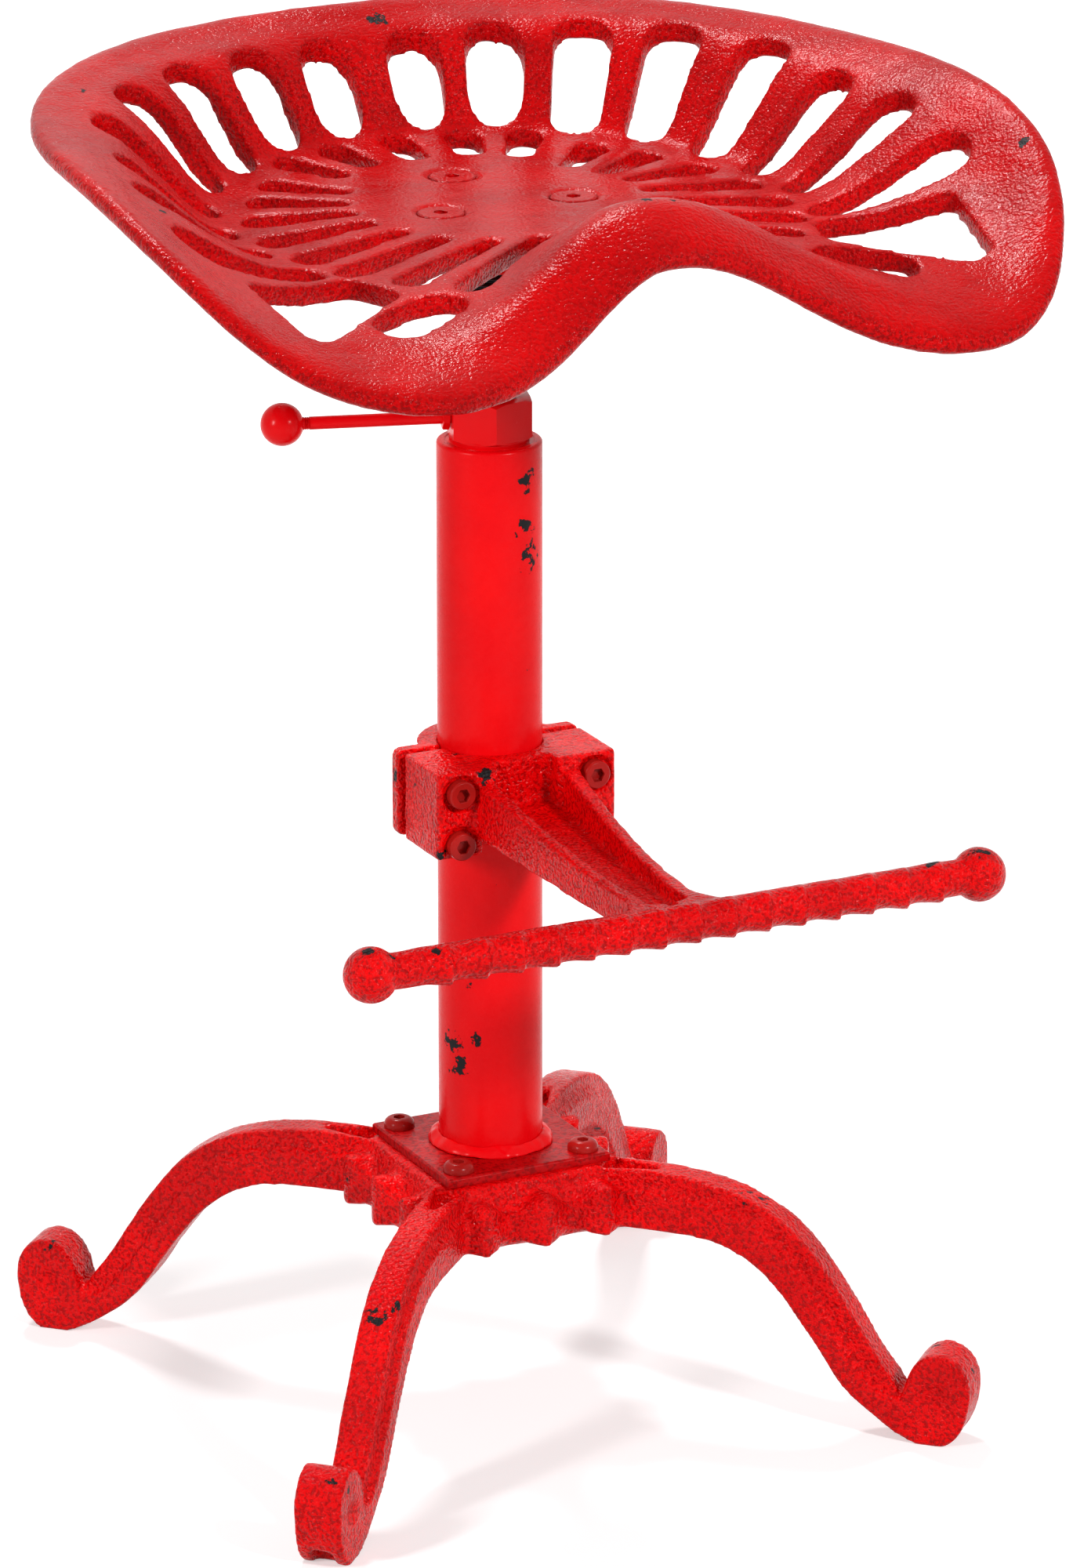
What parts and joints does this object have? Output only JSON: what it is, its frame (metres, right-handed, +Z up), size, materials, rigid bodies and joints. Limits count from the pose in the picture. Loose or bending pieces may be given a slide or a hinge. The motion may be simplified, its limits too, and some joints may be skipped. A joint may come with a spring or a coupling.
{
  "type": "tractor seat stool",
  "caption": "Height-adjustable stool: slotted cast pan seat on a screw column with a clamped twisted footrest bar and a four-legged scroll base.",
  "frame": {"origin": "on the floor under the middle of the whole stool; the column stands 24.2 mm behind it, at x = 0 and y = 0.0242 m", "axes": "+Z points up along the column. The open front of the seat and the footrest bar point to -Y. +X is on the left hand of a person sitting on the stool."},
  "size_m": [0.4418, 0.3984, 0.6278],
  "materials": {
    "cast_red": "semi-gloss crimson paint over a pebbled casting",
    "tube_red": "smooth gloss red paint",
    "sheet_red": "satin red paint on flat plate",
    "screw_red": "thin gloss red paint, dark in the sockets",
    "knob_red": "smooth gloss red paint on a ball",
    "black_thread": "black oxide, oily satin",
    "zinc": "bright zinc plate",
    "nylon": "natural white, matte"
  },
  "bodies": {
    "stand": {"base_casting": "cast_red", "base_plate": "sheet_red", "base_screws": "screw_red", "base_washers": "zinc", "base_nuts": "zinc", "column_weld": "sheet_red", "column_tube": "tube_red", "collar_nut": "tube_red"},
    "lock_lever": {"lever_rod": "tube_red", "lever_jam_nut": "tube_red", "lever_knob": "knob_red"},
    "guide": {"spindle_guide": "nylon"},
    "seat": {"spindle": "black_thread", "guide_bush": "zinc", "guide_washer": "zinc", "guide_screw": "zinc", "seat_hub_nut": "cast_red", "seat_flange": "cast_red", "seat_bolts": "cast_red", "seat_bolt_nuts": "zinc", "seat_casting": "cast_red"},
    "footrest": {"footrest_casting": "cast_red", "footrest_clamp_plate": "cast_red", "clamp_screws": "screw_red", "clamp_washers": "zinc", "clamp_nuts": "zinc"}
  },
  "joints": [
    {"name": "seat_height", "type": "slide", "parent": "stand", "child": "guide", "axis": [0, 0, 1], "range_m": [-0.0545, 0.09125]},
    {"name": "seat_turn", "type": "hinge", "parent": "guide", "child": "seat", "pos_m": [0, 0.0242, 0.45], "axis": [0, 0, 1], "range_deg": [-6480, 10890]},
    {"name": "lever_turn", "type": "hinge", "parent": "stand", "child": "lock_lever", "pos_m": [0, 0.0242, 0.4709], "axis": [-0.9573, 0.289, 0], "range_deg": [0, 180]},
    {"name": "footrest_height", "type": "slide", "parent": "stand", "child": "footrest", "axis": [0, 0, 1], "range_m": [-0.138, 0.125]}
  ],
  "couplings": [
    {"joint": "seat_height", "follows": "seat_turn", "m_per_rad": 0.00047746}
  ]
}
